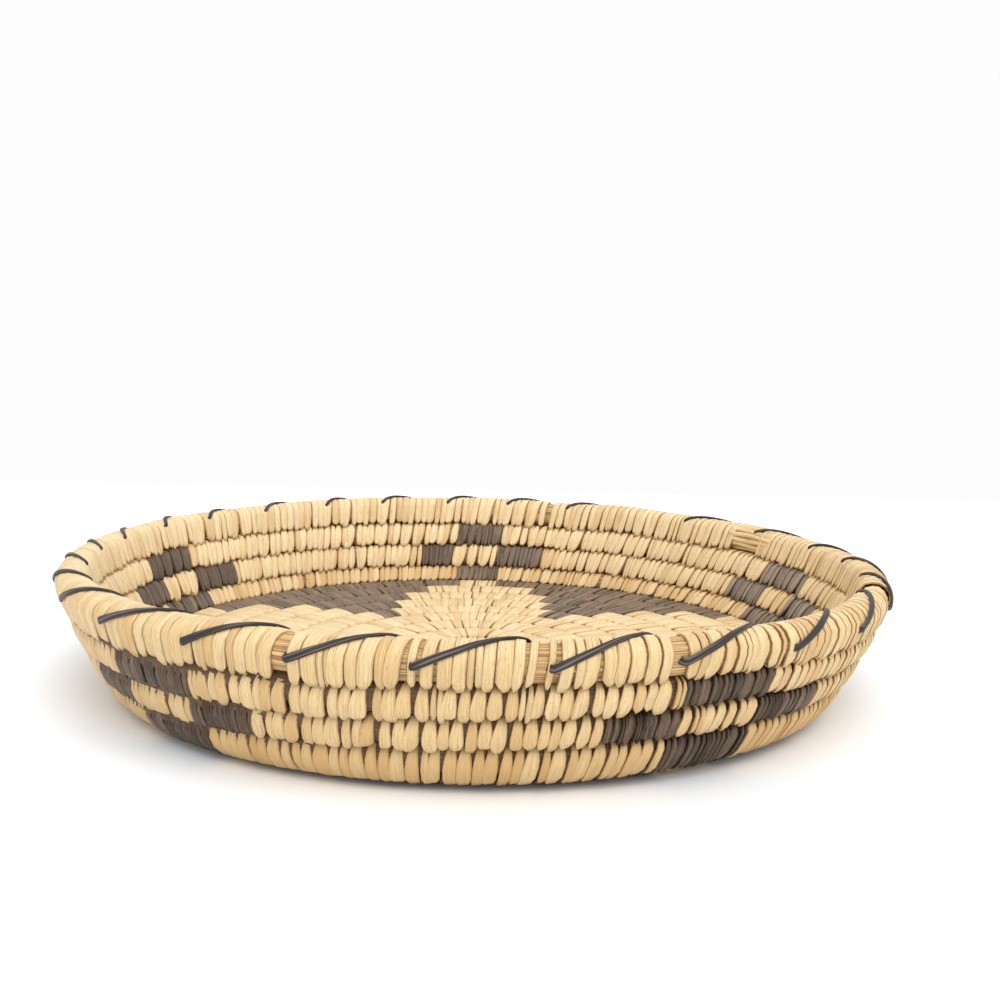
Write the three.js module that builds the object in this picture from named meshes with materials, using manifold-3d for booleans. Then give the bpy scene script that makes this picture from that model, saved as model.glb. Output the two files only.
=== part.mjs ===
// Coiled basket tray: one grass bundle wound in a spiral from the middle of the floor to the rim,
// sewn row to row with pale and dark strips, with a dark strand lashed round the rim row.
// Millimetres, +Z up. The origin lies on the table, under the middle of the floor.
import * as THREE from 'three';
import Module from 'manifold-3d';

// Driving dimensions: lengths in millimetres, angles in degrees, shares without a unit
const rimRadius = 140;          // outside of the rim row
const rimOvality = 2;           // the rim reaches this much further left and right, and less front and back
const wallLength = 37.2;        // along the wall, from the bend to the top of the rim row
const wallLeanFoot = 31;        // lean from upright just above the bend
const wallLeanTop = 15;         // lean from upright at the rim
const bendRadius = 10;          // where the floor turns up into the wall
const wallRowPitch = 9.9;       // from one wall row to the next, along the wall
const floorRowPitch = 12.4;     // from one floor row to the next, adjusted to a whole number of turns
const coilThickness = 11.2;     // of the sewn coil, through the floor and the wall
const rimThickness = 11.6;      // of the rim row, through the wall
const rimRowHeight = 11.2;      // of the rim row, along the wall
const stripThickness = 1.2;     // of the sewing strips where they lie over each other
const knotRadius = 7;           // start knot in the middle of the floor
const coilEnd = 0;              // direction in which the coil ends at the rim, counter-clockwise from +X
const tailTurn = 0.06;          // share of a turn over which the coil's end tapers
const startTurn = 0.84;         // share of a turn over which the coil's start thickens

const rowGap = 0.3;             // clearance between two rows
const stripGap = 0.3;           // clearance between two stretches of stitching in one row
const bundleClearance = 0.3;    // clearance between the bundle and the stitching round it

// The five motifs of the wall: directions of their middles, and widths of the single block in the upper and
// the lower row, of the two blocks in the middle row, and of the pale inlay between these
const motifs = [
  { direction: 18.6, single: 12, paired: [9.2, 9.2], inlay: 9.4 },
  { direction: 89.2, single: 9, paired: [8.6, 7.2], inlay: 8.8 },
  { direction: 157.2, single: 12, paired: [10.2, 10.6], inlay: 9 },
  { direction: 227.1, single: 14.2, paired: [11.4, 9.8], inlay: 12.6 },
  { direction: 302, single: 13.5, paired: [9.8, 12.2], inlay: 12 },
];
const petalDirections = [24, 89, 157.5, 227, 301];   // middles of the star's petals on the floor
const petalShares = [0.13, 0.38, 0.56, 0.72, 0.87];   // pale part of the floor rows, from outside inwards

const lashingWidth = 2.4;
const lashingThickness = 1.2;
const lashingClearance = 0.8;   // from the strand to the faceted rim row
const lashingPassage = 1.8;     // room for the strand under the rim row
const lashingCurls = 25;
const lashingStart = 4.3;       // direction of the first curl
const lashingEnd = 323.5;       // direction of the last curl
const lashingUneven = 7;        // the curls lie closer together at the back by this swing
const lashingPhase = 0.41;      // where along the strand they lie closest

const seamWidth = 3;            // of a stitch that ties two floor rows together
const seamHeight = 1.8;
const seamBite = 0.8;           // how far it reaches into each row's stitching

const stepsPerTurn = 24;

// Corners of the coil's section, as shares of half its height and half its thickness. The flat is the share
// of a row's height over which its two faces are straight: less at the bend, where rows stand at an angle.
const wallFlat = 0.72;
const bendFlat = 0.5;
const bendRow = 4;              // the first row of the floor, which the bend turns towards the wall
const bendTurns = 1;            // how far from the bend row the flat stays as it is there
const fadeTurns = 1 / 3;        // over which it grows from there to the wall's
const rowCorners = (flat) => [[1, 0], [flat, 1], [-flat, 1], [-1, 0], [-flat, -1], [flat, -1]];
const outerRimCorners = [[1, 0], [0.74, 0.74], [0, 1], [-0.78, 0.9]];
const innerRimCorners = [[-1, 0], [-0.78, -0.9], [0, -1], [0.74, -0.74]];
const rimCorners = [...outerRimCorners, ...innerRimCorners];
const bundleCorners = [[1, 0], [0.5, 0.87], [-0.5, 0.87], [-1, 0], [-0.5, -0.87], [0.5, -0.87]];
const edgeCorners = [[1, 0], [-1, 0]];
const rimBoreShare = 1.08;      // the rim's bore is wider than a row's, because its section is rounder

const radians = THREE.MathUtils.degToRad;
const { lerp, clamp, smoothstep } = THREE.MathUtils;

const wasm = await Module();
wasm.setup();

// Materials
const paint = (color, roughness) => new THREE.MeshStandardMaterial({ color, roughness, metalness: 0 });
const finishes = {
  pale: paint(0xd9b878, 0.6),
  dark: paint(0x3b322c, 0.55),
  grass: paint(0xb58a52, 0.8),
  strand: paint(0x2b2a2e, 0.4),
};

// The coil's middle surface, walked down from the top of the rim: along the wall, round the bend, inwards
function walkArc(from, length, leanStart, leanEnd) {
  const mean = (leanStart + leanEnd) / 2;
  const half = (leanEnd - leanStart) / 2;
  const chord = length * (Math.abs(half) < 1e-9 ? 1 : Math.sin(half) / half);
  return { r: from.r - chord * Math.sin(mean), z: from.z - chord * Math.cos(mean) };
}

const leanTop = radians(wallLeanTop);
const leanFoot = radians(wallLeanFoot);
const leanFloor = Math.PI / 2;
const bendLength = bendRadius * (leanFloor - leanFoot);
const footFromTop = walkArc({ r: 0, z: 0 }, wallLength, leanTop, leanFoot);
const floorFromTop = walkArc(footFromTop, bendLength, leanFoot, leanFloor);
const rimTop = {
  r: rimRadius - (rimThickness * Math.cos(leanTop) - rimRowHeight * Math.sin(leanTop)) / 2,
  z: coilThickness / 2 - floorFromTop.z,
};
const floorEdge = rimTop.r + floorFromTop.r;

// Rows are counted in levels down the wall and in across the floor. The rim row ends at level 0.5.
const rimTopLevel = 0.5 - rimRowHeight / wallRowPitch;
const floorLevel = rimTopLevel + (wallLength + bendLength) / wallRowPitch;
const turns = Math.round((floorEdge - knotRadius) / floorRowPitch + floorLevel + 0.5);
const knotLevel = turns - 0.5;
const floorPitch = (floorEdge - knotRadius) / (knotLevel - floorLevel);

function placeLevel(level) {
  const down = (level - rimTopLevel) * wallRowPitch;
  if (down < wallLength) {
    return walkArc(rimTop, down, leanTop, lerp(leanTop, leanFoot, down / wallLength));
  }
  const foot = { r: rimTop.r + footFromTop.r, z: rimTop.z + footFromTop.z };
  if (level < floorLevel) {
    const along = down - wallLength;
    return walkArc(foot, along, leanFoot, lerp(leanFoot, leanFloor, along / bendLength));
  }
  return { r: floorEdge - (level - floorLevel) * floorPitch, z: coilThickness / 2 };
}

// A place along the coil is the number of turns back from its end at the rim. The wall rows lie level and
// climb to the next row beside the tail only. Towards the middle of the floor the climb becomes even.
const tailRise = (turn) => smoothstep(turn, 1 - tailTurn, 1);

function windLevel(place) {
  const row = Math.floor(place);
  const turn = place - row;
  const even = clamp((place - 3) / (turns - 6), 0, 1);
  return row + even * turn + (1 - even) * tailRise(turn);
}

// Boundary below the coil, and the clearance left there: the strand's passage under the rim row
function boundaryBelow(place) {
  if (place < 0) return lerp(rimTopLevel, 0.5, tailRise(place + 1));
  if (place > turns - 1) return knotLevel;
  return windLevel(place) + 0.5;
}

function gapBelow(place) {
  if (place < 0) return lerp(rowGap, lashingPassage, clamp(place / tailTurn + 1, 0, 1));
  const closing = clamp((place - 1) / (0.6 * tailTurn) + 1, 0, 1);
  return lerp(lashingPassage, rowGap, closing);
}

function coilEdges(place) {
  const pitch = place < 4 ? wallRowPitch : floorPitch;
  const bottom = boundaryBelow(place) - gapBelow(place) / 2 / pitch;
  if (place < 1 - tailTurn) return { top: rimTopLevel, bottom };
  return { top: boundaryBelow(place - 1) + gapBelow(place - 1) / 2 / pitch, bottom };
}

// The coil's section: its middle, half its height along the rows, half its thickness, and how much of
// them the bundle and the inside of the stitching take
function coilSection(place) {
  const { top, bottom } = coilEdges(place);
  const upper = placeLevel(top);
  const lower = placeLevel(bottom);
  const along = new THREE.Vector2((upper.r - lower.r) / 2, (upper.z - lower.z) / 2);
  const half = along.length();
  const rimShare = 1 - smoothstep(place, 1 - tailTurn, 1);
  const taper = Math.min(1, 0.4 + half / (0.6 * wallRowPitch));
  const thick = (taper * lerp(coilThickness, rimThickness, rimShare)) / 2;
  const across = new THREE.Vector2(along.y, -along.x).multiplyScalar(thick / half);
  const pastBend = clamp((Math.abs(place - bendRow) - bendTurns) / fadeTurns, 0, 1);
  const flat = lerp(bendFlat, wallFlat, pastBend);
  const inner = (half * thick) / Math.hypot(thick, (1 - flat) * half);
  const strip = Math.min(stripThickness, 0.28 * inner) / inner;
  const clearance = Math.min(bundleClearance, 0.12 * inner) / inner;
  const middle = new THREE.Vector2((upper.r + lower.r) / 2, (upper.z + lower.z) / 2);
  return { middle, along, across, flat, bore: 1 - strip, bundle: 1 - strip - clearance };
}

// A point of the section in space. Up and out are shares of the section's half height and thickness. Corners
// lie outside the true curve, so that the straight steps between them cross it.
const cornerReach = (1 + 1 / Math.cos(Math.PI / stepsPerTurn)) / 2;

function sectionPoint(place, section, up, out) {
  const angle = radians(coilEnd) + 2 * Math.PI * place;
  const height = section.middle.y + up * section.along.y + out * section.across.y;
  const plain = section.middle.x + up * section.along.x + out * section.across.x;
  const radius = cornerReach * plain + rimOvality * Math.cos(2 * angle) * (height / rimTop.z);
  return new THREE.Vector3(radius * Math.cos(angle), radius * Math.sin(angle), height);
}

// All tubes share the same straight steps, so that what lies inside or beside another stays clear of it
const cornerCache = new Map();
function cornerSection(step) {
  if (!cornerCache.has(step)) cornerCache.set(step, coilSection(step / stepsPerTurn));
  return cornerCache.get(step);
}

function ringAt(place, shape) {
  const step = Math.floor(place * stepsPerTurn + 1e-9);
  const part = place * stepsPerTurn - step;
  const rings = [step, step + 1].map((corner) => {
    const section = cornerSection(corner);
    const { corners, share } = shape(section);
    return corners.map(([up, out]) => sectionPoint(corner / stepsPerTurn, section, share * up, share * out));
  });
  return rings[0].map((point, side) => point.clone().lerp(rings[1][side], Math.max(part, 0)));
}

function placesBetween(start, end) {
  const places = [start];
  const first = Math.floor(start * stepsPerTurn) + 1;
  for (let step = first; step / stepsPerTurn < end; step += 1) {
    const place = step / stepsPerTurn;
    if (place - places.at(-1) > 0.002 && end - place > 0.002) places.push(place);
  }
  places.push(end);
  return places;
}

// What is wound along the coil: the corners of its section, and the share of the section that it takes
const rowOutside = ({ flat }) => ({ corners: rowCorners(flat), share: 1 });
const rowBore = ({ flat, bore }) => ({ corners: rowCorners(flat), share: bore });
const rimOutside = () => ({ corners: rimCorners, share: 1 });
const rimBore = ({ bore }) => ({ corners: rimCorners, share: rimBoreShare * bore });
const bundleOutside = ({ bundle }) => ({ corners: bundleCorners, share: bundle });
const rowEdges = () => ({ corners: edgeCorners, share: 1 });
const rowMiddle = () => ({ corners: [[0, 0]], share: 1 });

// Closed skins over rings of points: a solid tube, or a tube with a bore
function skinGeometry(points, triangles) {
  const geometry = new THREE.BufferGeometry();
  geometry.setAttribute('position', new THREE.Float32BufferAttribute(points.flatMap((p) => p.toArray()), 3));
  geometry.setIndex(triangles);
  return geometry;
}

function joinRings(triangles, ringStart, nextStart, sides, inward) {
  for (let side = 0; side < sides; side += 1) {
    const next = (side + 1) % sides;
    const [a, b, c, d] = [ringStart + side, ringStart + next, nextStart + next, nextStart + side];
    triangles.push(...(inward ? [a, c, b, a, d, c] : [a, b, c, a, c, d]));
  }
}

function solidTube(rings) {
  const sides = rings[0].length;
  const points = rings.flat();
  const triangles = [];
  for (let ring = 0; ring + 1 < rings.length; ring += 1) {
    joinRings(triangles, ring * sides, (ring + 1) * sides, sides, false);
  }
  const last = (rings.length - 1) * sides;
  for (let side = 1; side + 1 < sides; side += 1) {
    triangles.push(0, side + 1, side, last, last + side, last + side + 1);
  }
  return skinGeometry(points, triangles);
}

function boredTube(outerRings, innerRings) {
  const sides = outerRings[0].length;
  const points = [...outerRings.flat(), ...innerRings.flat()];
  const offset = outerRings.length * sides;
  const triangles = [];
  for (let ring = 0; ring + 1 < outerRings.length; ring += 1) {
    joinRings(triangles, ring * sides, (ring + 1) * sides, sides, false);
    joinRings(triangles, offset + ring * sides, offset + (ring + 1) * sides, sides, true);
  }
  const last = (outerRings.length - 1) * sides;
  joinRings(triangles, 0, offset, sides, true);
  joinRings(triangles, last, offset + last, sides, false);
  return skinGeometry(points, triangles);
}

// Stitching over one stretch of the coil, drawn back from its neighbours by half the strip gap
function stitchedStretch(start, end, outside = rowOutside, bore = rowBore) {
  const back = (place) => stripGap / 2 / (2 * Math.PI * coilSection(place).middle.x);
  const places = placesBetween(start + back(start), end - back(end));
  return boredTube(
    places.map((place) => ringAt(place, outside)),
    places.map((place) => ringAt(place, bore)),
  );
}

// A stitch that ties a row to the row inside it
function rowSeam(place) {
  const outer = ringAt(place, rowEdges)[1];
  const inner = ringAt(place + 1, rowEdges)[0];
  const ahead = ringAt(place + 0.001, rowEdges)[1];
  const inwards = inner.clone().sub(outer).normalize();
  const forward = ahead.sub(outer).normalize();
  const upwards = new THREE.Vector3().crossVectors(inwards, forward).normalize();
  forward.crossVectors(upwards, inwards);
  const length = inner.distanceTo(outer) + 2 * seamBite;
  const block = new THREE.BoxGeometry(length, seamWidth, seamHeight);
  const turn = new THREE.Matrix4().makeBasis(inwards, forward, upwards);
  block.applyMatrix4(turn.setPosition(inner.clone().add(outer).multiplyScalar(0.5)));
  return block;
}

// Solids joined into one
function toSolid(geometry) {
  const position = geometry.attributes.position;
  const corners = new Map();
  const vertices = [];
  const merged = Array.from({ length: position.count }, (_, index) => {
    const point = [position.getX(index), position.getY(index), position.getZ(index)];
    const key = point.map((value) => Math.round(value * 1e4)).join();
    if (!corners.has(key)) {
      corners.set(key, corners.size);
      vertices.push(...point);
    }
    return corners.get(key);
  });
  const index = geometry.index ? Array.from(geometry.index.array) : merged.map((_, corner) => corner);
  const triangles = [];
  for (let first = 0; first < index.length; first += 3) {
    const [a, b, c] = [0, 1, 2].map((corner) => merged[index[first + corner]]);
    if (a !== b && b !== c && c !== a) triangles.push(a, b, c);
  }
  return new wasm.Manifold(new wasm.Mesh({
    numProp: 3,
    vertProperties: new Float32Array(vertices),
    triVerts: new Uint32Array(triangles),
  }));
}

function weld(geometries) {
  const joined = geometries.map(toSolid).reduce((sum, solid) => sum.add(solid)).getMesh();
  const geometry = new THREE.BufferGeometry();
  geometry.setAttribute('position', new THREE.Float32BufferAttribute(joined.vertProperties, joined.numProp));
  geometry.setIndex(Array.from(joined.triVerts));
  return geometry;
}

const tray = new THREE.Group();
const floor = new THREE.Group();
const wall = new THREE.Group();
const rim = new THREE.Group();
tray.add(floor, wall, rim);

function addPiece(group, name, geometry, finish) {
  const piece = new THREE.Mesh(geometry, finish.clone());
  piece.name = name;
  group.add(piece);
}

// Least distance between points of a wound tube that lie more than a share of a turn apart along it
function leastGap(rings, ringsApart) {
  let least = Infinity;
  for (let one = 0; one < rings.length; one += 1) {
    for (let other = one + ringsApart; other < rings.length; other += 1) {
      for (const point of rings[one]) {
        for (const facing of rings[other]) least = Math.min(least, point.distanceTo(facing));
      }
    }
  }
  return least.toFixed(2);
}

// The bundle: one unbroken spiral tube, a little shorter at both ends than the stitching round it
const tailPlace = -0.75 * tailTurn;
const startPlace = turns - 1 + startTurn;
const endCover = 0.004;
const bundlePlaces = placesBetween(tailPlace + endCover, startPlace - endCover);
const bundleRings = bundlePlaces.map((place) => ringAt(place, bundleOutside));
addPiece(tray, 'foundation_coil', solidTube(bundleRings), finishes.grass);
const bundleGap = leastGap(bundleRings, stepsPerTurn / 2);
console.log(`foundation_coil: ${turns} turns, least gap to itself ${bundleGap} mm`);

// Start knot: a button with eased edges in the middle of the floor
const knotEdge = knotRadius - rowGap;
const knotEase = 1.5;
const knotProfile = [
  [0, 0], [knotEdge - knotEase, 0], [knotEdge, knotEase],
  [knotEdge, coilThickness - knotEase], [knotEdge - knotEase, coilThickness], [0, coilThickness],
].map(([r, z]) => new THREE.Vector2(r, z));
const knot = new THREE.LatheGeometry(knotProfile, stepsPerTurn / 2);
knot.rotateX(Math.PI / 2);
addPiece(floor, 'start_knot', weld([knot]), finishes.pale);

// Floor: dark wedges between the petals of the pale star, in the order in which the coil meets them
const petalPlaces = petalDirections.map((direction) => (direction - coilEnd) / 360);
const firstFloorRow = 4;
const lastWedgeRow = firstFloorRow + petalShares.length - 1;
const darkStretches = petalPlaces.map((from, petal) => {
  const to = petal + 1 < petalPlaces.length ? petalPlaces[petal + 1] : petalPlaces[0] + 1;
  const stretches = [];
  petalShares.forEach((share, index) => {
    const row = firstFloorRow + index;
    const start = from + (share * (to - from)) / 2;
    const end = to - (share * (to - from)) / 2;
    if (end > 1) stretches.push([row, row + end - 1]);
    if (start < 1) stretches.push([row + start, row + Math.min(end, 1)]);
  });
  const joined = [stretches[0]];
  for (const stretch of stretches.slice(1)) {
    if (Math.abs(stretch[0] - joined.at(-1)[1]) < 1e-6) joined.at(-1)[1] = stretch[1];
    else joined.push(stretch);
  }
  return joined;
});

darkStretches.forEach((stretches, wedge) => {
  const parts = stretches.map(([start, end]) => stitchedStretch(start, end));
  for (const [start, end] of stretches) {
    for (const [innerStart, innerEnd] of stretches) {
      const from = Math.max(start, innerStart - 1);
      const to = Math.min(end, innerEnd - 1);
      if (to - from > 0.015) parts.push(rowSeam((from + to) / 2));
    }
  }
  addPiece(floor, `floor_wedge_${wedge + 1}`, weld(parts), finishes.dark);
});

const starParts = [];
let pale = firstFloorRow;
const darkInOrder = darkStretches.flat().sort((a, b) => a[0] - b[0]);
for (const [start, end] of [...darkInOrder, [startPlace, startPlace]]) {
  if (start - pale > 1e-6) starParts.push(stitchedStretch(pale, start));
  pale = end;
}
for (let row = firstFloorRow; row <= lastWedgeRow; row += 1) {
  for (const place of petalPlaces) starParts.push(rowSeam(row + place));
}
addPiece(floor, 'floor_star', weld(starParts), finishes.pale);

// Wall rows: each is a chain of dark blocks, given by their middle and width in degrees, and the pale
// stretches between them. In the middle row every second one is the inlay between a motif's two blocks.
function sewRow(row, label, darkBlocks, inlays) {
  let from = row;
  let runs = 0;
  darkBlocks.forEach(({ middle, width }, block) => {
    const start = row + (middle - width / 2 - coilEnd) / 360;
    const inlay = inlays && block % 2 === 1;
    const name = inlay ? `${label}_inlay_${(block + 1) / 2}` : `${label}_run_${(runs += 1)}`;
    addPiece(wall, name, stitchedStretch(from, start), finishes.pale);
    from = start + width / 360;
    addPiece(wall, `${label}_block_${block + 1}`, stitchedStretch(start, from), finishes.dark);
  });
  addPiece(wall, `${label}_run_${runs + 1}`, stitchedStretch(from, row + 1), finishes.pale);
}

const singles = motifs.map(({ direction, single }) => ({ middle: direction, width: single }));
const pairs = motifs.flatMap(({ direction, paired, inlay }) => paired.map((width, block) => (
  { middle: direction + ((block ? 1 : -1) * (width + inlay)) / 2, width }
)));
sewRow(1, 'upper', singles, false);
sewRow(2, 'middle', pairs, true);
sewRow(3, 'lower', singles, false);
addPiece(rim, 'rim_stitching', stitchedStretch(tailPlace, 1, rimOutside, rimBore), finishes.pale);

// Lashing: one strand that climbs the outside of the rim row, crosses its top, drops inside and passes under
const curlCorners = [...outerRimCorners].reverse().concat([...innerRimCorners].reverse());
const curlSteps = curlCorners.length;
const strandSides = 5;
const curlProgress = [0, 0.08, 0.32, 0.6, 0.8, 0.9, 0.94, 0.97];   // share of the way to the next curl
function curlDirection(curl) {
  const share = curl / (lashingCurls - 1);
  const swing = Math.sin(2 * Math.PI * (share - lashingPhase)) + Math.sin(2 * Math.PI * lashingPhase);
  return lerp(lashingStart, lashingEnd, share) - lashingUneven * swing;
}

function strandPoint(direction, [up, out]) {
  const place = (direction - coilEnd) / 360;
  const step = Math.floor(place * stepsPerTurn);
  const stand = lashingThickness / 2 + lashingClearance;
  const rise = up === -1 ? lashingPassage / 2 : stand;
  const ends = [step, step + 1].map((corner) => {
    const section = cornerSection(corner);
    const upwards = up * (1 + rise / section.along.length());
    const outwards = out * (1 + stand / section.across.length());
    return sectionPoint(corner / stepsPerTurn, section, upwards, outwards);
  });
  return ends[0].lerp(ends[1], place * stepsPerTurn - step);
}

const strandPath = [];
const rowMiddles = [];
for (let curl = 0; curl < lashingCurls; curl += 1) {
  for (let step = 0; step < curlSteps; step += 1) {
    if (curl === lashingCurls - 1 && step > curlSteps - 3) break;
    const direction = lerp(curlDirection(curl), curlDirection(curl + 1), curlProgress[step]);
    strandPath.push(strandPoint(direction, curlCorners[step]));
    rowMiddles.push(ringAt((direction - coilEnd) / 360, rowMiddle)[0]);
  }
}
const strandRings = strandPath.map((point, index) => {
  const before = strandPath[Math.max(index - 1, 0)];
  const after = strandPath[Math.min(index + 1, strandPath.length - 1)];
  const forward = after.clone().sub(before).normalize();
  const outward = point.clone().sub(rowMiddles[index]);
  outward.addScaledVector(forward, -outward.dot(forward)).normalize();
  const sideways = new THREE.Vector3().crossVectors(forward, outward);
  return Array.from({ length: strandSides }, (_, side) => {
    const turn = (2 * Math.PI * (side + 0.5)) / strandSides;
    return point.clone()
      .addScaledVector(outward, (-Math.cos(turn) * lashingThickness) / 2)
      .addScaledVector(sideways, (-Math.sin(turn) * lashingWidth) / 2);
  });
});
addPiece(rim, 'rim_lashing', solidTube(strandRings), finishes.strand);
const strandGap = leastGap(strandRings, curlSteps - 2);
console.log(`rim_lashing: ${lashingCurls} curls, least gap to itself ${strandGap} mm`);

export default tray;
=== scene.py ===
# Coiled basket tray: a grass bundle wound in a spiral and sewn with split strips, its rim lashed with a dark
# strand. Lengths in the dictionaries are millimetres and angles degrees, unless a note says otherwise.
import math

import bpy
import numpy as np
from mathutils import Matrix, Vector


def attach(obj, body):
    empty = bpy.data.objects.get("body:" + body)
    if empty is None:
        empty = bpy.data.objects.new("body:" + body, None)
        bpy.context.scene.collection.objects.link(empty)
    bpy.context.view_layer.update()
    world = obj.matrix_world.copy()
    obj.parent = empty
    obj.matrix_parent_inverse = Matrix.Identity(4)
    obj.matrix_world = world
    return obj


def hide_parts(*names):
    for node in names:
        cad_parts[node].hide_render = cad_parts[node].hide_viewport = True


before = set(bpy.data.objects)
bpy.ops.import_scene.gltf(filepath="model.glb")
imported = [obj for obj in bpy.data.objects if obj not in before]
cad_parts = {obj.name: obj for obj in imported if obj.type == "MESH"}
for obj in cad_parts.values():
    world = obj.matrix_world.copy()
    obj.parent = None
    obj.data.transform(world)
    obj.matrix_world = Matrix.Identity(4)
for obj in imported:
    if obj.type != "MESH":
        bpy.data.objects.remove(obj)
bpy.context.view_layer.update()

mm = 0.001
fullTurn = 2 * math.pi
chance = np.random.default_rng(7)


# camera

photoCamera = {
    "distance": 494.6, "elevation": 14.87,
    "aimSide": 0.91, "aimUp": 7.28, "roll": 1.755,  # how far it looks away from the tray's middle
    "focal": 1.3753,  # in widths of the frame
    "trayTips": (0.717, 0.358),  # how the photographed tray leans to the camera, along x and y
    "sensorWidth": 36, "clipStart": 0.01, "clipEnd": 50,  # the clips in metres
}


def turnPair(first, second, angle):  # two directions turned in their plane, the first towards the second
    cosine, sine = math.cos(angle), math.sin(angle)
    return first * cosine + second * sine, second * cosine - first * sine


def setCamera(spec):
    elevation, side, rise, roll = (
        math.radians(spec[key]) for key in ("elevation", "aimSide", "aimUp", "roll"))
    spot = Vector((0, -math.cos(elevation), math.sin(elevation))) * spec["distance"] * mm
    forward = -spot.normalized()
    right = Vector((1, 0, 0))
    up = right.cross(forward)
    right, forward = turnPair(right, forward, -side)
    up, forward = turnPair(up, forward, -rise)
    right, up = turnPair(right, up, roll)
    turn = Matrix((right, up, -forward)).transposed().to_4x4()
    leanX, leanY = (math.radians(angle) for angle in spec["trayTips"])
    level = Matrix.Rotation(-leanY, 4, "X") @ Matrix.Rotation(leanX, 4, "Y")
    bpy.ops.object.camera_add()
    camera = bpy.context.object
    camera.name = "photoCamera"
    camera.matrix_world = level @ Matrix.Translation(spot) @ turn
    camera.data.sensor_width = spec["sensorWidth"]
    camera.data.lens = spec["focal"] * spec["sensorWidth"]
    camera.data.clip_start = spec["clipStart"]
    camera.data.clip_end = spec["clipEnd"]
    bpy.context.scene.camera = camera


setCamera(photoCamera)
print("camera set")


# shader helpers

class Wire:  # a socket that takes part in sums
    def __init__(self, maker, socket):
        self.maker = maker
        self.socket = socket

    def sum(self, operation, *values):
        return self.maker.node("ShaderNodeMath", {"operation": operation}, dict(enumerate(values)))

    def __add__(self, other): return self.sum("ADD", self, other)
    def __radd__(self, other): return self.sum("ADD", other, self)
    def __sub__(self, other): return self.sum("SUBTRACT", self, other)
    def __rsub__(self, other): return self.sum("SUBTRACT", other, self)
    def __mul__(self, other): return self.sum("MULTIPLY", self, other)
    def __rmul__(self, other): return self.sum("MULTIPLY", other, self)
    def __abs__(self): return self.sum("ABSOLUTE", self)


class Finish:  # one material and the way its nodes are added
    def __init__(self, name, roughness, specular=0.5):
        self.material = bpy.data.materials.new(name)
        self.material.use_nodes = True
        self.tree = self.material.node_tree
        self.shader = self.tree.nodes["Principled BSDF"]
        self.shader.inputs["Roughness"].default_value = roughness
        self.shader.inputs["Specular IOR Level"].default_value = specular

    def node(self, kind, settings=None, inputs=None, out=0):
        made = self.tree.nodes.new(kind)
        for key, value in (settings or {}).items():
            setattr(made, key, value)
        for key, value in (inputs or {}).items():
            if isinstance(value, Wire):
                self.tree.links.new(value.socket, made.inputs[key])
            else:
                made.inputs[key].default_value = value
        return Wire(self, made.outputs[out])

    def attribute(self, name):
        return self.node("ShaderNodeAttribute", {"attribute_name": name}, out="Fac")

    def axes(self, vector, *names):
        parts = self.node("ShaderNodeSeparateXYZ", inputs={0: vector}).socket.node.outputs
        return [Wire(self, parts[name]) for name in names]

    def point(self, x, y, z):
        return self.node("ShaderNodeCombineXYZ", inputs={"X": x, "Y": y, "Z": z})

    def stripPlace(self):  # across the strip from -1 to 1, and along it in strip lengths
        across, along = self.axes(self.node("ShaderNodeUVMap", {"uv_map": "stripMap"}), "X", "Y")
        return across * 2 - 1, along

    def noise(self, point, detail=2, roughness=0.5):  # as coarse as the point's own numbers make it
        return self.node("ShaderNodeTexNoise", out="Fac", inputs={
            "Vector": point, "Scale": 1, "Detail": detail, "Roughness": roughness})

    # noise on a strip: how fine it is across and along it, how far the strip's seed shifts it across and in
    # depth, and its detail and roughness
    def grain(self, across, along, seed, fineAcross, fineAlong, shiftAcross, shiftDepth, *look):
        point = self.point(across * fineAcross + seed * shiftAcross, along * fineAlong, seed * shiftDepth)
        return self.noise(point, *look)

    def stretch(self, value, low, high):  # 0 at low and 1 at high, and level beyond them
        return self.node("ShaderNodeMapRange", inputs={"Value": value, "From Min": low, "From Max": high})

    def mix(self, share, first, second):
        first, second = (v if isinstance(v, Wire) else (*v, 1) for v in (first, second))
        return self.node("ShaderNodeMix", {"data_type": "RGBA"}, {0: share, 6: first, 7: second}, out=2)

    # a colour over the base, from none where the mask is low to the greatest share where it is high
    def tint(self, base, colour, mask, low, high, most=None):
        share = self.stretch(mask, low, high)
        return self.mix(share if most is None else share * most, base, colour)

    def finish(self, spec, colour, height, roughness=None):
        links = self.tree.links
        links.new(colour.socket, self.shader.inputs["Base Color"])
        if roughness is not None:
            links.new(roughness.socket, self.shader.inputs["Roughness"])
        bump = self.node("ShaderNodeBump", inputs={
            "Strength": spec["bumpStrength"], "Distance": spec["bumpDepth"], "Height": height})
        links.new(bump.socket, self.shader.inputs["Normal"])
        return self.material


# Stitching strips. The noises are given as grain takes them: fineness across and along, shift across and in
# depth, detail, roughness. The tints, stains and painted light and shade alike, are given as tint takes them:
# where they begin, where they are full and their greatest share. Along a strip 0 is the outer end and 1 the
# inner one. The spread is added to the roughness, and bumps are metres deep.

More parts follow.
